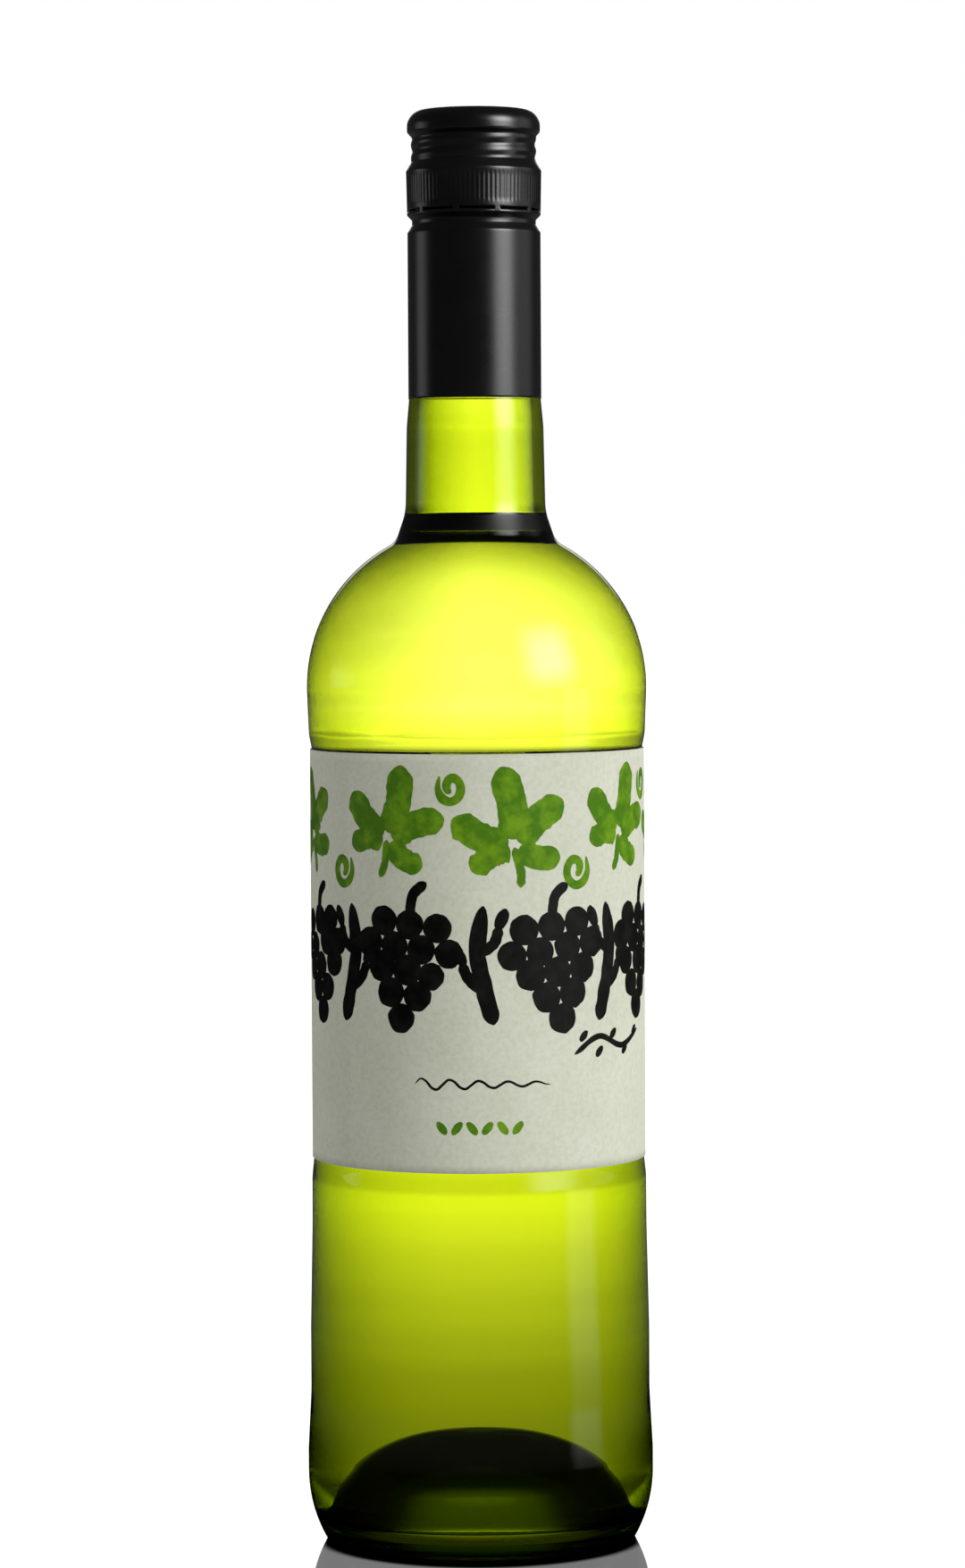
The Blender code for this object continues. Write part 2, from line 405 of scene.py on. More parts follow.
def moulded_bottle_glass():
    """Yellow-green container glass, blown in a mould and fire-polished.

    Clear soda-lime glass with iron and chromium in it: it swallows blue almost wholly and a little
    red, so a thin wall is lime. Painted shade makes an edge seen side-on dark olive, and darkens set places.
    """
    material, tree = new_material("moulded bottle glass")
    facing = add_node(tree, "ShaderNodeLayerWeight", None, {"Blend": 0.5}).outputs["Facing"]
    place = add_node(tree, "ShaderNodeTexCoord").outputs["Object"]
    height = add_node(tree, "ShaderNodeSeparateXYZ", None, {"Vector": place}).outputs["Z"]
    thick = add_node(tree, "ShaderNodeAttribute", {"attribute_name": "painted_punt_shade"}).outputs["Fac"]
    ring = painted_shade_neck_ring(tree, height)
    colour = painted_shade_at_edge(tree, facing)
    # Each tint below is painted shade laid on the glass's colour: neck ring, label line, heel, left side,
    # punt
    for tint in (
        ring,
        painted_shade_above_label(tree, height),
        painted_shade_at_heel(tree, height, facing),
        painted_shade_on_left(tree, place, height),
        ramp(tree, thick, [(0.0, 1.0), (1.0, (0.1, 0.28, 0.03))]),
    ):
        layered = add_node(tree, "ShaderNodeMix", MULTIPLIED, {"Factor": 1.0, "A": colour, "B": tint})
        colour = layered.outputs["Result"]
    ring_share = add_node(tree, "ShaderNodeSeparateColor", None, {"Color": ring})
    rough_in_ring = add_node(
        tree,
        "ShaderNodeMapRange",
        None,
        {
            "Value": ring_share.outputs["Red"],
            "From Min": 0.05,
            "From Max": 0.5,
            "To Min": 0.36,
            "To Max": 0.0,
        },
    )
    ripple = add_node(
        tree, "ShaderNodeTexNoise", None, {"Vector": place, "Scale": 55.0, "Detail": 1.0, "Roughness": 0.4}
    )
    bump = add_node(
        tree, "ShaderNodeBump", None, {"Height": ripple.outputs["Fac"], "Strength": 0.03, "Distance": 0.001}
    )
    shader = add_node(
        tree,
        "ShaderNodeBsdfPrincipled",
        None,
        {
            "Base Color": colour,
            "Roughness": rough_in_ring.outputs["Result"],
            "IOR": 1.52,
            "Transmission Weight": 1.0,
            "Normal": bump.outputs["Normal"],
        },
    )
    absorb = add_node(
        tree, "ShaderNodeVolumeAbsorption", None, {"Color": (0.961, 0.992, 0.16, 1.0), "Density": 1000.0}
    )
    add_node(
        tree,
        "ShaderNodeOutputMaterial",
        None,
        {"Surface": shader.outputs["BSDF"], "Volume": absorb.outputs["Volume"]},
    )
    return material


def young_white_wine():
    """Still white wine: water and alcohol, hardly coloured, a faint straw yellow through its depth."""
    material, tree = new_material("young white wine")
    shader = add_node(
        tree,
        "ShaderNodeBsdfPrincipled",
        None,
        {"Base Color": WHITE, "Roughness": 0.0, "IOR": 1.34, "Transmission Weight": 1.0},
    )
    absorb = add_node(
        tree, "ShaderNodeVolumeAbsorption", None, {"Color": (0.9, 0.96, 0.3, 1.0), "Density": 6.0}
    )
    add_node(
        tree,
        "ShaderNodeOutputMaterial",
        None,
        {"Surface": shader.outputs["BSDF"], "Volume": absorb.outputs["Volume"]},
    )
    return material


def lacquered_aluminium():
    """Thin drawn aluminium under a baked black lacquer: satin, with a trace of orange peel."""
    material, tree = new_material("lacquered aluminium")
    place = add_node(tree, "ShaderNodeTexCoord").outputs["Object"]
    peel = add_node(
        tree, "ShaderNodeTexNoise", None, {"Vector": place, "Scale": 1400.0, "Detail": 2.0, "Roughness": 0.5}
    )
    cloud = add_node(
        tree, "ShaderNodeTexNoise", None, {"Vector": place, "Scale": 90.0, "Detail": 3.0, "Roughness": 0.6}
    )
    gloss = add_node(
        tree,
        "ShaderNodeMapRange",
        None,
        {"Value": cloud.outputs["Fac"], "From Min": 0.3, "From Max": 0.7, "To Min": 0.25, "To Max": 0.32},
    )
    bump = add_node(
        tree, "ShaderNodeBump", None, {"Height": peel.outputs["Fac"], "Strength": 0.12, "Distance": 0.0001}
    )
    colour = ramp(tree, cloud.outputs["Fac"], [(0.3, linear("#060608")), (0.7, linear("#0b0b0e"))])
    shader = add_node(
        tree,
        "ShaderNodeBsdfPrincipled",
        None,
        {
            "Base Color": colour,
            "Roughness": gloss.outputs["Result"],
            "IOR": 1.5,
            "Coat Weight": 1.0,
            "Coat Roughness": 0.22,
            "Normal": bump.outputs["Normal"],
        },
    )
    add_node(tree, "ShaderNodeOutputMaterial", None, {"Surface": shader.outputs["BSDF"]})
    return material


def uncoated_label_paper():
    """Uncoated wet-strength label paper: off-white, matt, with a fine felt grain."""
    material, tree = new_material("uncoated label paper")
    place = add_node(tree, "ShaderNodeTexCoord").outputs["Object"]
    fibre = add_node(
        tree, "ShaderNodeTexNoise", None, {"Vector": place, "Scale": 900.0, "Detail": 4.0, "Roughness": 0.65}
    )
    cloud = add_node(
        tree, "ShaderNodeTexNoise", None, {"Vector": place, "Scale": 60.0, "Detail": 2.0, "Roughness": 0.5}
    )
    colour = add_node(
        tree,
        "ShaderNodeMix",
        MULTIPLIED,
        {
            "Factor": 0.35,
            "A": ramp(tree, cloud.outputs["Fac"], [(0.3, linear("#e5e8d3")), (0.7, linear("#edefdd"))]),
            "B": ramp(tree, fibre.outputs["Fac"], [(0.35, linear("#dcdecb")), (0.6, linear("#ffffff"))]),
        },
    )
    bump = add_node(
        tree, "ShaderNodeBump", None, {"Height": fibre.outputs["Fac"], "Strength": 0.25, "Distance": 0.00008}
    )
    shader = add_node(
        tree,
        "ShaderNodeBsdfPrincipled",
        None,
        {"Base Color": colour.outputs["Result"], "Roughness": 0.72, "Normal": bump.outputs["Normal"]},
    )
    add_node(tree, "ShaderNodeOutputMaterial", None, {"Surface": shader.outputs["BSDF"]})
    return material


def printing_ink(name, thick_hex, thin_hex):
    """Ink laid on with a loaded brush: full in the stroke, a little thinner where it ran dry."""
    material, tree = new_material(name)
    place = add_node(tree, "ShaderNodeTexCoord").outputs["Object"]
    drag = add_node(
        tree, "ShaderNodeTexNoise", None, {"Vector": place, "Scale": 260.0, "Detail": 3.0, "Roughness": 0.6}
    )
    colour = ramp(tree, drag.outputs["Fac"], [(0.42, linear(thick_hex)), (0.66, linear(thin_hex))])
    shader = add_node(
        tree,
        "ShaderNodeBsdfPrincipled",
        None,
        {"Base Color": colour, "Roughness": 0.6, "Specular IOR Level": 0.2},
    )
    add_node(tree, "ShaderNodeOutputMaterial", None, {"Surface": shader.outputs["BSDF"]})
    return material


def cavity_corners():
    """The inside of the glass, from the punt's crown out and up to the mouth."""
    wall_radius = PANEL_RADIUS - WALL
    crown = PUNT_DEPTH + CROWN_GLASS
    return [
        (0.0, crown, 0),
        (16.5, crown, 22.0),
        (26.6, PUNT_FLOOR, 3.2),
        (wall_radius + 0.8, PUNT_FLOOR, 5.8),
        (wall_radius + 0.8, 60.0, 90.0),
        (wall_radius, 84.0, 90.0),
        (wall_radius, 168.0, 60.0),
        (SHOULDER_CORNER_RADIUS - SHOULDER_WALL - 0.2, 184.0, 20.0),
        (SHOULDER_CORNER_RADIUS - SHOULDER_WALL, 207.4, SHOULDER_ROUNDING - SHOULDER_WALL - 1.2),
        (BORE_RADIUS + 1.2, 221.0, 7.0),
        (BORE_RADIUS, 228.0, 14.0),
        (BORE_RADIUS - 0.4, 250.0, 60.0),
        (MOUTH_BORE_RADIUS, 275.0, 60.0),
        (MOUTH_BORE_RADIUS, LIP_HEIGHT, 1.2),
    ]


def outer_corners():
    """The outside of the glass, from the lip down over the shoulder to the foot and into the punt."""
    return [
        (FINISH_RADIUS, LIP_HEIGHT, 1.2),
        (FINISH_RADIUS, 302.6, 0),
        (BEAD_RADIUS, 300.6, 0.6),
        (BEAD_RADIUS, 295.0, 0.6),
        (FINISH_RADIUS, 293.4, 0),
        (FINISH_RADIUS, 287.4, 0),
        (NECK_UNDER_SKIRT_RADIUS, 285.6, 0),
        (NECK_UNDER_SKIRT_RADIUS, 253.4, 0.4),
        (NECK_RADIUS - 0.55, 251.7, 0.8),
        (NECK_RADIUS, 245.6, 20.0),
        (LOWER_NECK_RADIUS, 227.0, 14.0),
        (NECK_FOOT_RADIUS, 220.5, NECK_FOOT_ROUNDING),
        (SHOULDER_CORNER_RADIUS, 208.6, SHOULDER_ROUNDING),
        (PANEL_EDGE_RADIUS + 0.1, 178.2, 8.0),
        (PANEL_RADIUS, 175.4, 2.0),
        (PANEL_RADIUS, 84.9, 3.0),
        (PANEL_EDGE_RADIUS, 80.5, 12.0),
        (PANEL_EDGE_RADIUS + 0.05, 70.0, 60.0),
        (LOWER_BODY_RADIUS, 47.0, 60.0),
        (LOWER_BODY_RADIUS, 33.0, 60.0),
        (HEEL_RADIUS, 20.0, 20.0),
        (HEEL_RADIUS, 7.6, 30.0),
        (FOOT_OUTER_RADIUS, 0.0, 1.4),
        (FOOT_INNER_RADIUS, 0.0, 6.0),
        (22.6, 11.0, 12.0),
        (17.0, PUNT_DEPTH, 17.0),
        (0.0, PUNT_DEPTH, 0),
    ]


def is_cavity_floor(radius, height):
    """Whether a point of the glass belongs to the thick floor of the cavity, over the punt."""
    share = min(1.0, radius / FOOT_INNER_RADIUS)
    punt = PUNT_DEPTH * (1 - share**2.6)
    return height < PUNT_DEPTH + 5.0 and radius < PANEL_RADIUS - WALL - 0.8 and height > punt + 0.8


def uneven_wall(radius, height, angle):
    """The blown inner face is never quite round: slow waves that run mostly up and down the bottle."""
    if not WAVES_BOTTOM < height < WAVES_TOP or radius >= PANEL_RADIUS - 1.2:
        return radius
    fade = min(1.0, (height - WAVES_BOTTOM) / 12.0, (WAVES_TOP - height) / 20.0)
    wave = noise.noise(Vector((3.2 * math.cos(angle), 3.2 * math.sin(angle), height / 70.0)))
    fine = noise.noise(Vector((9.0 * math.cos(angle), 9.0 * math.sin(angle), height / 45.0 + 7.0)))
    return radius + fade * (SLOW_WAVE * wave + FINE_WAVE * fine)


def make_glass():
    """The bottle: outer face, lip, blown inner face and punt, as one closed wall."""
    outline = filled_in(rounded_outline(cavity_corners() + outer_corners()), LONGEST_GLASS_STEP)
    mesh = turned_mesh("bottle_glass", outline, GLASS_SEGMENTS, uneven_wall)
    # Painted shade on the glass over the punt, from its least share up to full
    thick = mesh.attributes.new("painted_punt_shade", "FLOAT", "POINT")
    for index, vertex in enumerate(mesh.vertices):
        radius = math.hypot(vertex.co.x, vertex.co.y) / MM
        height = vertex.co.z / MM
        if is_cavity_floor(radius, height):
            share = (height - DARKENS_FROM) / (DARKEST_FROM - DARKENS_FROM)
            thick.data[index].value = min(1.0, max(LEAST_DARKNESS, share))
    piece = new_piece("bottle_glass", mesh, moulded_bottle_glass())
    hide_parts("glass_bottle")


def distance_from_wall(rise):
    """How far from a wetted wall a liquid's surface stands at a rise, by the capillary curve."""
    share = rise / CAPILLARY_LENGTH
    return CAPILLARY_LENGTH * (math.acosh(2 / share) - math.sqrt(4 - share**2))


def meniscus(rim):
    """The wine's surface from its middle to the wall, which it wets and climbs: its true curve."""
    nearest = distance_from_wall(WETTING_RISE)
    surface = [Vector((0.0, WINE_LEVEL)), Vector((rim * 0.15, WINE_LEVEL))]
    for step in range(1, MENISCUS_STEPS + 1):
        rise = WETTING_RISE * (step / MENISCUS_STEPS) ** 1.5
        radius = rim - (distance_from_wall(rise) - nearest)
        if radius > rim * 0.2:
            surface.append(Vector((radius, WINE_LEVEL + rise)))
    return surface


def make_wine():
    """The wine, a hair into the wall all round, with a meniscus that climbs the neck's foot."""
    inside = filled_in(rounded_outline(cavity_corners()), LONGEST_GLASS_STEP)
    wall = drawn_out(inside, WINE_INTO_WALL)
    contact = WINE_LEVEL + WETTING_RISE
    wetted = [point for point in wall[1:] if point.y < contact - 0.05]
    outline = [*meniscus(wetted[-1].x), *reversed(wetted), Vector((0.0, wall[0].y))]
    mesh = turned_mesh("wine_fill", outline, GLASS_SEGMENTS, uneven_wall)
    piece = new_piece("wine_fill", mesh, young_white_wine())
    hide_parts("wine")


def cap_outline():
    """The closure's outer face, from the middle of its top to the skirt's edge."""
    corners = [
        (0.0, TOTAL_HEIGHT - 0.15, 0),
        (CROWN_RADIUS - 5.4, TOTAL_HEIGHT - 0.15, 1.0),
        (CROWN_RADIUS - 4.8, TOTAL_HEIGHT, 0.6),
        (CROWN_RADIUS, TOTAL_HEIGHT, 3.5),
        (CROWN_RADIUS, 310.2, 0.7),
        (THREAD_RADIUS, 309.2, 0.6),
        (THREAD_RADIUS, 303.6, 0.5),
        (GRIP_BAND_RADIUS, 301.7, 0.7),
        (SKIRT_RADIUS + 0.05, SLIT_HEIGHT - 0.9, 0.3),
        (GROOVE_RADIUS, 290.9, 0.5),
        (GROOVE_RADIUS, 289.9, 0.5),
        (SKIRT_RADIUS, 288.2, 0.6),
        (SKIRT_RADIUS, SKIRT_EDGE, 0),
    ]
    points = filled_in(rounded_outline(corners), LONGEST_CAP_STEP)
    edges = (SLIT_HEIGHT + SLIT_WIDTH / 2, SLIT_HEIGHT - SLIT_WIDTH / 2)
    for index, point in enumerate(points):
        for edge in edges:
            if abs(point.y - edge) < SLIT_SNAP and point.x > SKIRT_RADIUS - 0.3:
                points[index] = Vector((point.x, edge))
    kept = [points[0]]
    for point in points[1:]:
        if (point - kept[-1]).length > SHORTEST_CAP_STEP:
            kept.append(point)
    return kept


def cap_relief(radius, height, angle):
    """Rolled thread and fluted grip band, as changes to the closure's radius."""
    if FLUTES_BOTTOM < height < FLUTES_TOP:
        fade = min(1.0, (height - FLUTES_BOTTOM) / 0.5, (FLUTES_TOP - height) / 0.5)
        return radius - fade * FLUTE_DEPTH * (0.5 + 0.5 * math.cos(FLUTES * angle)) ** 0.7
    if THREAD_BOTTOM < height < THREAD_TOP:
        fade = min(1.0, height - THREAD_BOTTOM, THREAD_TOP - height)
        turn = height / THREAD_PITCH - angle / (2 * math.pi)
        return radius - fade * THREAD_DEPTH * (0.5 + 0.5 * math.cos(2 * math.pi * turn)) ** 1.5
    return radius


def make_cap():
    """The closure: one drawn sheet with its rolled relief, slit through above the tamper band."""
    mesh = turned_mesh("closure_shell", cap_outline(), CAP_SEGMENTS, cap_relief)
    shape = bmesh.new()
    shape.from_mesh(mesh)
    pitch = 360.0 / SLIT_COUNT
    cut = []
    for face in shape.faces:
        middle = face.calc_center_median() / MM
        if abs(middle.z - SLIT_HEIGHT) > SLIT_WIDTH / 2 or math.hypot(middle.x, middle.y) < SLIT_INNER_RADIUS:
            continue
        angle = math.degrees(math.atan2(middle.y, middle.x)) % pitch
        if angle > BRIDGE_DEGREES:
            cut.append(face)
    bmesh.ops.delete(shape, geom=cut, context="FACES")
    shape.to_mesh(mesh)
    shape.free()
    piece = new_piece("closure_shell", mesh, lacquered_aluminium())
    thicken(piece, "sheet", SHEET)
    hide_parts("screw_cap")


def on_label(across, height, radius=PRINT_RADIUS):
    """The point of the label that is so far round from its middle and so high, in metres."""
    angle = across / LABEL_RADIUS
    return Vector((radius * math.sin(angle), -radius * math.cos(angle), height)) * MM


def make_label():
    """The paper, wrapped round the panel, whose two ends stop short of each other at the back."""
    outer = LABEL_RADIUS - PRINT_STANDS_OFF - PRINT_THICKNESS
    half = math.radians(180.0 - LABEL_GAP_DEGREES / 2) * LABEL_RADIUS
    shape = bmesh.new()
    grid = []
    for step in range(LABEL_STEPS + 1):
        across = -half + 2 * half * step / LABEL_STEPS
        column = []
        for row in range(LABEL_ROWS + 1):
            height = LABEL_BOTTOM + (LABEL_TOP - LABEL_BOTTOM) * row / LABEL_ROWS
            column.append(shape.verts.new(on_label(across, height, outer)))
        grid.append(column)
    for left, right in zip(grid, grid[1:]):
        for row in range(LABEL_ROWS):
            shape.faces.new([left[row], right[row], right[row + 1], left[row + 1]])
    piece = new_piece("label_paper", mesh_of(shape, "label_paper"), uncoated_label_paper())
    thicken(piece, "paper", PAPER_THICKNESS)
    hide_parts("label")


def smooth_path(points, steps):
    """A smooth curve through given points, read at even steps."""
    knots = [Vector(point) for point in points]
    knots = [2 * knots[0] - knots[1], *knots, 2 * knots[-1] - knots[-2]]
    path = []
    spans = len(knots) - 3
    for step in range(steps + 1):
        place = min(step / steps * spans, spans - 1e-6)
        index = int(place)
        t = place - index
        a, b, c, d = knots[index : index + 4]
        curve = (2 * b) + (c - a) * t + (2 * a - 5 * b + 4 * c - d) * t**2 + (3 * b - a - 3 * c + d) * t**3
        path.append(0.5 * curve)
    return path


def brush_stroke(shape, points, width, seed, steps=36, taper=0.45):
    """One stroke of ink on the label: it wavers at its edges and thins out at both ends."""
    path = smooth_path(points, steps)
    rails = []
    for index, here in enumerate(path):
        before = path[max(0, index - 1)]
        after = path[min(steps, index + 1)]
        run = (after - before).normalized()
        side = Vector((-run.y, run.x))
        share = index / steps
        fade = max(0.12, min(1.0, (share / 0.1) ** taper, ((1 - share) / 0.16) ** taper))
        half = 0.5 * width * fade
        left = half * (1 + 0.16 * noise.noise(Vector((share * 9, seed, 0.0))))
        right = half * (1 + 0.16 * noise.noise(Vector((share * 9, seed, 5.0))))
        row = []
        for column in range(STROKE_COLUMNS + 1):
            spot = here + side * (-right + (left + right) * column / STROKE_COLUMNS)
            row.append(shape.verts.new(on_label(spot.x, spot.y)))
        rails.append(row)
    for lower, upper in zip(rails, rails[1:]):
        for column in range(STROKE_COLUMNS):
            shape.faces.new([lower[column], lower[column + 1], upper[column + 1], upper[column]])


def ink_dab(shape, across, height, radius, seed, squash=1.0, lean=0.0):
    """One round touch of the brush: a filled, slightly uneven disc."""
    centre = shape.verts.new(on_label(across, height))
    last = None
    for ring in range(1, DAB_RINGS + 1):
        row = []
        for step in range(DAB_SIDES):
            angle = 2 * math.pi * step / DAB_SIDES
            uneven = 1 + 0.09 * noise.noise(Vector((2 * math.cos(angle), 2 * math.sin(angle), seed)))
            reach = radius * uneven * ring / DAB_RINGS
            x = reach * math.cos(angle)
            y = reach * math.sin(angle) * squash
            turned_x = x * math.cos(lean) - y * math.sin(lean)
            turned_y = x * math.sin(lean) + y * math.cos(lean)
            row.append(shape.verts.new(on_label(across + turned_x, height + turned_y)))
        for step in range(DAB_SIDES):
            after = (step + 1) % DAB_SIDES
            if last is None:
                shape.faces.new([centre, row[step], row[after]])
            else:
                shape.faces.new([last[step], row[step], row[after], last[after]])
        last = row


def brushed_leaf(shape, across, height, size, lean, seed):
    """A vine leaf of five broad dabs from one base, and its short stalk."""
    base = Vector((across, height))
    fingers = [(-112, 0.62, 0.30), (-58, 0.86, 0.36), (0, 1.0, 0.38), (56, 0.84, 0.36), (110, 0.6, 0.30)]
    for finger, (turn, reach, width) in enumerate(fingers):
        angle = math.radians(90 + turn) + lean
        tip = Vector((math.cos(angle), math.sin(angle))) * size * reach
        bow = Vector((-math.sin(angle), math.cos(angle))) * size * 0.06 * (1 if finger % 2 else -1)
        points = [base + tip * 0.1, base + tip * 0.5 + bow, base + tip]
        brush_stroke(shape, points, size * width, seed + finger, 30, 0.5)
    down = Vector((math.sin(lean), -math.cos(lean))) * size * 0.5
    stalk = [base, base + down * 0.6 + Vector((0.6, 0.0)), base + down]
    brush_stroke(shape, stalk, size * 0.11, seed + 9, 18)


def tendril(shape, across, height, size, turns, hand, seed):
    """A thin curling tendril: a spiral that opens as it runs out."""
    points = []
    for step in range(13):
        share = step / 12
        angle = hand * (share * turns * 2 * math.pi) - math.pi / 2
        reach = size * (0.16 + 0.84 * share)
        points.append((across + reach * math.cos(angle) * 0.8, height + reach * math.sin(angle)))
    brush_stroke(shape, points, 1.9, seed, 70)


def grape_bunch(shape, across, height, size, lean, seed):
    """A hanging bunch of filled dabs in rows that narrow downwards, with a stem."""
    for row, count in enumerate([3, 4, 3, 2, 1]):
        for place in range(count):
            x = (place - (count - 1) / 2) * size * 0.30
            y = -row * size * 0.235
            wobble = noise.noise(Vector((row * 1.7, place * 2.3, seed)))
            spot = Vector((x + wobble * size * 0.05, y + wobble * size * 0.04))
            spot = Matrix.Rotation(lean, 2) @ spot
            radius = size * (0.153 + 0.02 * wobble)
            ink_dab(shape, across + spot.x, height + spot.y, radius, seed + row + place)
    stem = [(across + size * x, height + size * y) for x, y in [(0.0, 0.1), (0.04, 0.3), (0.18, 0.42)]]
    brush_stroke(shape, stem, size * 0.11, seed + 20, 18)


def budding_cane(shape, across, hand, seed):
    """An upright piece of vine with a shoot to each side, and a bud at the end of each."""
    stem = [(-2.6, 117.0), (-0.6, 124.5), (0.9, 133.0), (-0.4, 142.5)]
    brush_stroke(shape, [(across + hand * x, y) for x, y in stem], 3.7, seed)
    for shoot in (
        [(-0.8, 124.0), (2.6, 126.6), (4.4, 130.4)],
        [(0.9, 132.0), (-2.6, 134.4), (-3.9, 138.2)],
    ):
        brush_stroke(shape, [(across + hand * x, y) for x, y in shoot], 2.4, seed + 1, 20)
    ink_dab(shape, across + hand * 4.9, 131.8, 2.5, seed + 2, 0.55, hand * 1.0)
    ink_dab(shape, across - hand * 4.4, 139.6, 2.5, seed + 3, 0.55, hand * 2.0)


def draw_green(shape):
    """The upper row: vine leaves with curling tendrils between them, and the small row of leaves."""
    for across, height, size, lean, seed in [
        (-49.0, 156.0, 16.0, 0.3, 1.0),
        (-20.5, 156.5, 16.5, -0.22, 11.0),
        (8.0, 155.0, 17.5, 0.16, 21.0),
        (36.0, 157.0, 16.0, -0.25, 31.0),
        (62.0, 156.0, 15.0, 0.25, 41.0),
    ]:
        brushed_leaf(shape, across, height, size, lean, seed)
    for across, height, size, hand, seed in [
        (-33.5, 150.0, 4.2, 1, 51.0),
        (-5.5, 168.0, 4.0, -1, 52.0),
        (22.5, 150.0, 4.4, 1, 53.0),
        (49.0, 168.0, 4.0, -1, 54.0),
    ]:
        tendril(shape, across, height, size, 1.35, hand, seed)
    for place in range(6):
        ink_dab(shape, -8.0 + place * 3.3, 94.8, 1.7, 60.0 + place, 0.5, 0.9 if place % 2 else -0.9)


def draw_black(shape):
    """The lower row: bunches of grapes among canes, then the small sprig and the thin flourish."""
    for across, height, size, lean, seed in [
        (-45.0, 138.0, 20.5, 0.12, 1.0),
        (-15.0, 138.5, 21.5, -0.1, 2.0),
        (16.5, 138.0, 21.5, 0.12, 3.0),
        (46.5, 138.5, 20.5, -0.1, 4.0),
    ]:
        grape_bunch(shape, across, height, size, lean, seed)
    for across, hand, seed in [(-30.3, 1, 70.0), (0.8, -1, 74.0), (31.6, 1, 78.0), (62.0, -1, 82.0)]:
        budding_cane(shape, across, hand, seed)
    brush_stroke(shape, [(22.0, 110.0), (29.0, 113.5), (37.0, 111.0), (45.0, 114.0)], 1.3, 80.0, 40)
    for place in range(5):
        ink_dab(shape, 24.5 + place * 4.6, 113.8 - (place % 2) * 3.6, 1.5, 81.0 + place, 0.55, 0.8)
    flourish = []
    for step in range(25):
        swing = 1.3 * math.sin(step * 1.25) * (1 - step / 32)
        flourish.append((-14.0 + 1.25 * step, 104.2 + swing))
    brush_stroke(shape, flourish, 0.55, 90.0, 160)


def print_piece(name, draw, material):
    """Everything printed in one colour, as one thin skin on the paper."""
    shape = bmesh.new()
    draw(shape)
    bmesh.ops.recalc_face_normals(shape, faces=shape.faces)
    for face in shape.faces:
        middle = face.calc_center_median()
        if face.normal.x * middle.x + face.normal.y * middle.y < 0:
            face.normal_flip()
    piece = new_piece(name, mesh_of(shape, name), material)


def make_print():
    """The label's two inks."""
    print_piece("label_print_green", draw_green, printing_ink("leaf green ink", "#4f8408", "#78a812"))
    print_piece("label_print_black", draw_black, printing_ink("brushed black ink", "#050604", "#171a13"))


def straight_share(tree, path):
    """The share of light for a ray: full if it came straight through, low if a wall mirrored it."""
    share = add_node(
        tree,
        "ShaderNodeMapRange",
        None,
        {
            "Value": path.outputs["Glossy Depth"],
            "From Min": 0.0,
            "From Max": 1.0,
            "To Min": 1.0,
            "To Max": 0.1,
        },
    )
    return share.outputs["Result"]


def by_ray(tree, path, mirrored, choices):
    """What a ray meets: what mirrors show, unless the ray is of a kind that has its own choice."""
    met = mirrored
    for kind, own in choices:
        choice = add_node(tree, "ShaderNodeMix", MIXED, {"Factor": path.outputs[kind], "A": met, "B": own})
        met = choice.outputs["Result"]
    return met


def table_through_glass(tree, distance, path):
    """The table's painted glow as the glass and the wine show it: painted shade under the bottle, bright far
    behind it.
    """
    stops = [
        (0.0, 0.12),
        (0.105, 0.2),
        (0.18, 0.28),
        (0.249, 0.33),
        (0.339, 0.54),
        (0.57, 0.86),
        (0.99, 1.34),
        (2.4, 1.6),
    ]
    # Painted light: the glow is lifted where the glass is met squarely, and dimmed after a mirroring
    slant = add_node(tree, "ShaderNodeLayerWeight", None, {"Blend": 0.5})
    steep = add_node(
        tree,
        "ShaderNodeMapRange",
        SMOOTH,
        {"Value": slant.outputs["Facing"], "From Min": 0.55, "From Max": 0.84, "To Min": 1.7, "To Max": 1.0},
    )
    strength = add_node(
        tree,
        "ShaderNodeMath",
        {"operation": "MULTIPLY"},
        {0: steep.outputs["Result"], 1: straight_share(tree, path)},
    )
    lifted = add_node(
        tree,
        "ShaderNodeMix",
        MULTIPLIED,
        {"Factor": 1.0, "A": ramp_over(tree, distance, stops), "B": strength.outputs["Value"]},
    )
    return lifted.outputs["Result"]


def table_in_mirrors(tree, place, distance):
    """The table as surfaces mirror it: dark, with a painted pool of light on the floor where the key light
    would fall.
    """
    key_heading = (0.95, -0.31, 0.0)
    heading = add_node(tree, "ShaderNodeVectorMath", {"operation": "NORMALIZE"}, {0: place})
    towards_key = add_node(
        tree,
        "ShaderNodeVectorMath",
        {"operation": "DOT_PRODUCT"},
        {0: heading.outputs["Vector"], 1: key_heading},
    )
    lit_patch = add_node(
        tree,
        "ShaderNodeMapRange",
        SMOOTH,
        {
            "Value": towards_key.outputs["Value"],
            "From Min": 0.965,
            "From Max": 0.995,
            "To Min": 0.04,
            "To Max": 0.6,
        },
    )
    away = add_node(
        tree, "ShaderNodeMapRange", SMOOTH, {"Value": distance, "From Min": 0.15, "From Max": 0.4}
    )
    lit_floor = add_node(
        tree,
        "ShaderNodeMath",
        {"operation": "MULTIPLY"},
        {0: lit_patch.outputs["Result"], 1: away.outputs["Result"]},
    )
    return lit_floor.outputs["Value"]


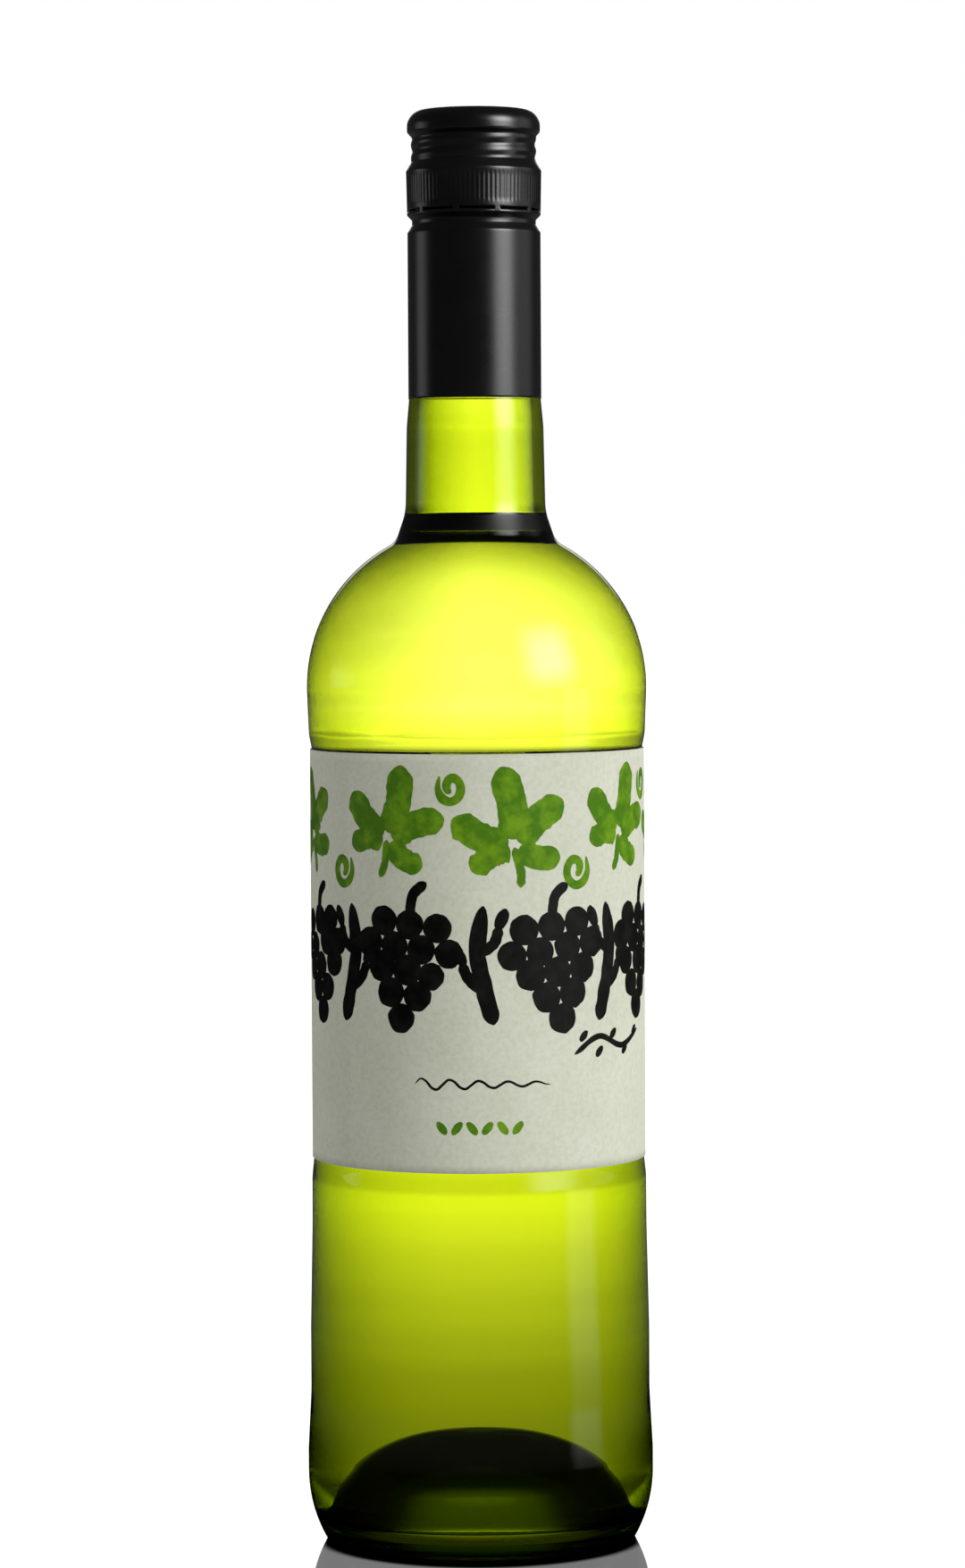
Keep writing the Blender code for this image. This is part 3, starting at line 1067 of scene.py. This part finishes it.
def make_table():
    """The white table, a glowing surface: even white to the eye, painted light and shade elsewhere, and a
    gloss close round the foot that mirrors the bottle.
    """
    material, tree = new_material("white glazed table")
    place = add_node(tree, "ShaderNodeTexCoord").outputs["Object"]
    from_middle = add_node(tree, "ShaderNodeVectorMath", {"operation": "LENGTH"}, {0: place})
    distance = from_middle.outputs["Value"]
    path = add_node(tree, "ShaderNodeLightPath")
    # The table glows rather than being lit: painted light and shade for rays through glass, mirrors and matt
    # surfaces
    seen = by_ray(
        tree,
        path,
        table_in_mirrors(tree, place, distance),
        [
            ("Is Transmission Ray", table_through_glass(tree, distance, path)),
            ("Is Diffuse Ray", rgba(0.3)),
            ("Is Camera Ray", WHITE),
        ],
    )
    glow = add_node(tree, "ShaderNodeEmission", None, {"Color": seen, "Strength": 1.3})
    mirror = add_node(tree, "ShaderNodeBsdfGlossy", None, {"Color": WHITE, "Roughness": 0.02})
    # Painted contact shadow: right round the foot the glow gives way wholly to the mirror
    contact = add_node(
        tree,
        "ShaderNodeMapRange",
        SMOOTH,
        {"Value": distance, "From Min": 0.035, "From Max": 0.038, "To Min": 1.0, "To Max": 0.86},
    )
    gloss = add_node(
        tree,
        "ShaderNodeMixShader",
        None,
        {0: contact.outputs["Result"], 1: glow.outputs["Emission"], 2: mirror.outputs["BSDF"]},
    )
    near = add_node(
        tree,
        "ShaderNodeMapRange",
        SMOOTH,
        {"Value": distance, "From Min": 0.05, "From Max": 0.07, "To Min": 1.0, "To Max": 0.0},
    )
    near_and_seen = add_node(
        tree,
        "ShaderNodeMath",
        {"operation": "MULTIPLY"},
        {0: near.outputs["Result"], 1: path.outputs["Is Camera Ray"]},
    )
    surface = add_node(
        tree,
        "ShaderNodeMixShader",
        None,
        {0: near_and_seen.outputs["Value"], 1: glow.outputs["Emission"], 2: gloss.outputs["Shader"]},
    )
    add_node(tree, "ShaderNodeOutputMaterial", None, {"Surface": surface.outputs["Shader"]})
    bpy.ops.mesh.primitive_plane_add(size=24.0, location=(0.0, 0.0, -0.0002))
    table = bpy.context.object
    table.name = "table_top"
    table.data.materials.append(material)


def glow_patch(tree, direction, azimuth, elevation, half_width, half_height, level):
    """A soft-edged patch of light on the studio wall: its level at each direction."""
    angle = math.radians(azimuth)
    ahead = (math.sin(angle), -math.cos(angle), 0.0)
    aside = (math.cos(angle), math.sin(angle), 0.0)
    facing = add_node(tree, "ShaderNodeVectorMath", {"operation": "DOT_PRODUCT"}, {0: direction, 1: ahead})
    sideways = add_node(tree, "ShaderNodeVectorMath", {"operation": "DOT_PRODUCT"}, {0: direction, 1: aside})
    round_angle = add_node(
        tree,
        "ShaderNodeMath",
        {"operation": "ARCTAN2"},
        {0: sideways.outputs["Value"], 1: facing.outputs["Value"]},
    )
    height = add_node(tree, "ShaderNodeSeparateXYZ", None, {"Vector": direction})
    above = add_node(
        tree,
        "ShaderNodeMath",
        {"operation": "SUBTRACT"},
        {0: height.outputs["Z"], 1: math.sin(math.radians(elevation))},
    )
    patch = level
    for offset, half in (
        (round_angle.outputs["Value"], math.radians(half_width)),
        (above.outputs["Value"], math.sin(math.radians(half_height))),
    ):
        share = add_node(tree, "ShaderNodeMath", {"operation": "DIVIDE"}, {0: offset, 1: half})
        size = add_node(tree, "ShaderNodeMath", {"operation": "ABSOLUTE"}, {0: share.outputs["Value"]})
        fade = add_node(
            tree,
            "ShaderNodeMapRange",
            SMOOTH,
            {"Value": size.outputs["Value"], "From Min": 0.15, "From Max": 1.0, "To Min": 1.0, "To Max": 0.0},
        )
        faded = add_node(
            tree, "ShaderNodeMath", {"operation": "MULTIPLY"}, {0: fade.outputs["Result"], 1: patch}
        )
        patch = faded.outputs["Value"]
    return patch


def wall_through_glass(tree, height, path):
    """The studio's wall as the glass and the wine show it: bright at the horizon, dark overhead."""
    stops = [
        (0.0, 1.0),
        (0.03, 0.8),
        (0.06, 0.56),
        (0.09, 0.46),
        (0.13, 0.25),
        (0.2, 0.08),
        (0.35, 0.03),
        (1.0, 0.01),
    ]
    level = add_node(
        tree, "ShaderNodeMath", {"operation": "MULTIPLY"}, {0: straight_share(tree, path), 1: 2.2}
    )
    wall = add_node(
        tree,
        "ShaderNodeMix",
        MULTIPLIED,
        {"Factor": 1.0, "A": ramp(tree, height, stops), "B": level.outputs["Value"]},
    )
    return wall.outputs["Result"]


def studio_in_mirrors(tree, direction, axes):
    """The studio as surfaces mirror it: dark, with a band of light at the back and soft patches."""
    band = ramp(tree, axes.outputs["Z"], [(0.13, 0.0), (0.155, 1.1), (0.235, 1.1), (0.27, 0.0)])
    at_back = add_node(
        tree, "ShaderNodeMapRange", SMOOTH, {"Value": axes.outputs["Y"], "From Min": 0.94, "From Max": 0.965}
    )
    room = add_node(
        tree,
        "ShaderNodeMath",
        {"operation": "MULTIPLY_ADD"},
        {0: band, 1: at_back.outputs["Result"], 2: 0.03},
    )
    mirrored = room.outputs["Value"]
    # Azimuth, elevation, half width and half height in degrees, and level
    key = (53.0, 20.0, 27.0, 24.0, 7.2)
    below_key = (54.0, 0.0, 24.0, 30.0, 0.6)
    far_left = (-104.0, 0.0, 20.0, 14.0, 0.6)
    far_right = (96.0, 10.0, 30.0, 30.0, 0.4)
    for patch in (key, below_key, far_left, far_right):
        level = glow_patch(tree, direction, *patch)
        total = add_node(tree, "ShaderNodeMath", {"operation": "ADD"}, {0: mirrored, 1: level})
        mirrored = total.outputs["Value"]
    return mirrored


def make_world():
    """A studio: white to the eye, a bright wall behind the glass, and dark with a few lights to mirrors."""
    world = bpy.data.worlds.new("studio")
    bpy.context.scene.world = world
    world.use_nodes = True
    tree = world.node_tree
    tree.nodes.clear()
    direction = add_node(tree, "ShaderNodeTexCoord").outputs["Generated"]
    axes = add_node(tree, "ShaderNodeSeparateXYZ", None, {"Vector": direction})
    path = add_node(tree, "ShaderNodeLightPath")
    on_matt = add_node(
        tree,
        "ShaderNodeMapRange",
        None,
        {"Value": axes.outputs["Y"], "From Min": -0.3, "From Max": 0.6, "To Min": 0.35, "To Max": 1.0},
    )
    seen = by_ray(
        tree,
        path,
        studio_in_mirrors(tree, direction, axes),
        [
            ("Is Diffuse Ray", on_matt.outputs["Result"]),
            ("Is Transmission Ray", wall_through_glass(tree, axes.outputs["Z"], path)),
            ("Is Camera Ray", WHITE),
        ],
    )
    background = add_node(tree, "ShaderNodeBackground", None, {"Color": seen, "Strength": 1.0})
    add_node(tree, "ShaderNodeOutputWorld", None, {"Surface": background.outputs["Background"]})


def make_key_light():
    """A tall softbox to the right of the camera, aimed at the bottle, that only lights matt surfaces."""
    azimuth = math.radians(62.0)
    distance = 1.3
    width = 0.6
    tall = 0.9
    radiance = 1.6
    light = bpy.data.lights.new("key_softbox", "AREA")
    light.shape = "RECTANGLE"
    light.size = width
    light.size_y = tall
    light.energy = radiance * math.pi * width * tall
    box = bpy.data.objects.new("key_softbox", light)
    bpy.context.scene.collection.objects.link(box)
    box.location = (distance * math.sin(azimuth), -distance * math.cos(azimuth), 0.35)
    towards = Vector((0.0, 0.0, 0.16)) - box.location
    box.rotation_euler = towards.to_track_quat("-Z", "Y").to_euler()
    box.visible_glossy = False
    box.visible_transmission = False


def make_camera():
    """The photograph's view: a long lens as high as the neck's foot, looking a little down, a hair askew."""
    data = bpy.data.cameras.new("camera")
    data.lens = 117.65
    camera = bpy.data.objects.new("camera", data)
    bpy.context.scene.collection.objects.link(camera)
    camera.location = (0.0012, -1.13, 0.218)
    looked_at = Vector((0.0012, 0.0, 0.167))
    aim = (looked_at - camera.location).to_track_quat("-Z", "Y")
    roll = Matrix.Rotation(math.radians(-0.32), 3, "Z")
    camera.rotation_euler = (aim.to_matrix() @ roll).to_euler()
    bpy.context.scene.camera = camera


make_glass()
make_wine()
make_cap()
make_label()
make_print()
make_table()
make_world()
make_key_light()
make_camera()
bpy.context.scene.view_settings.view_transform = "Standard"
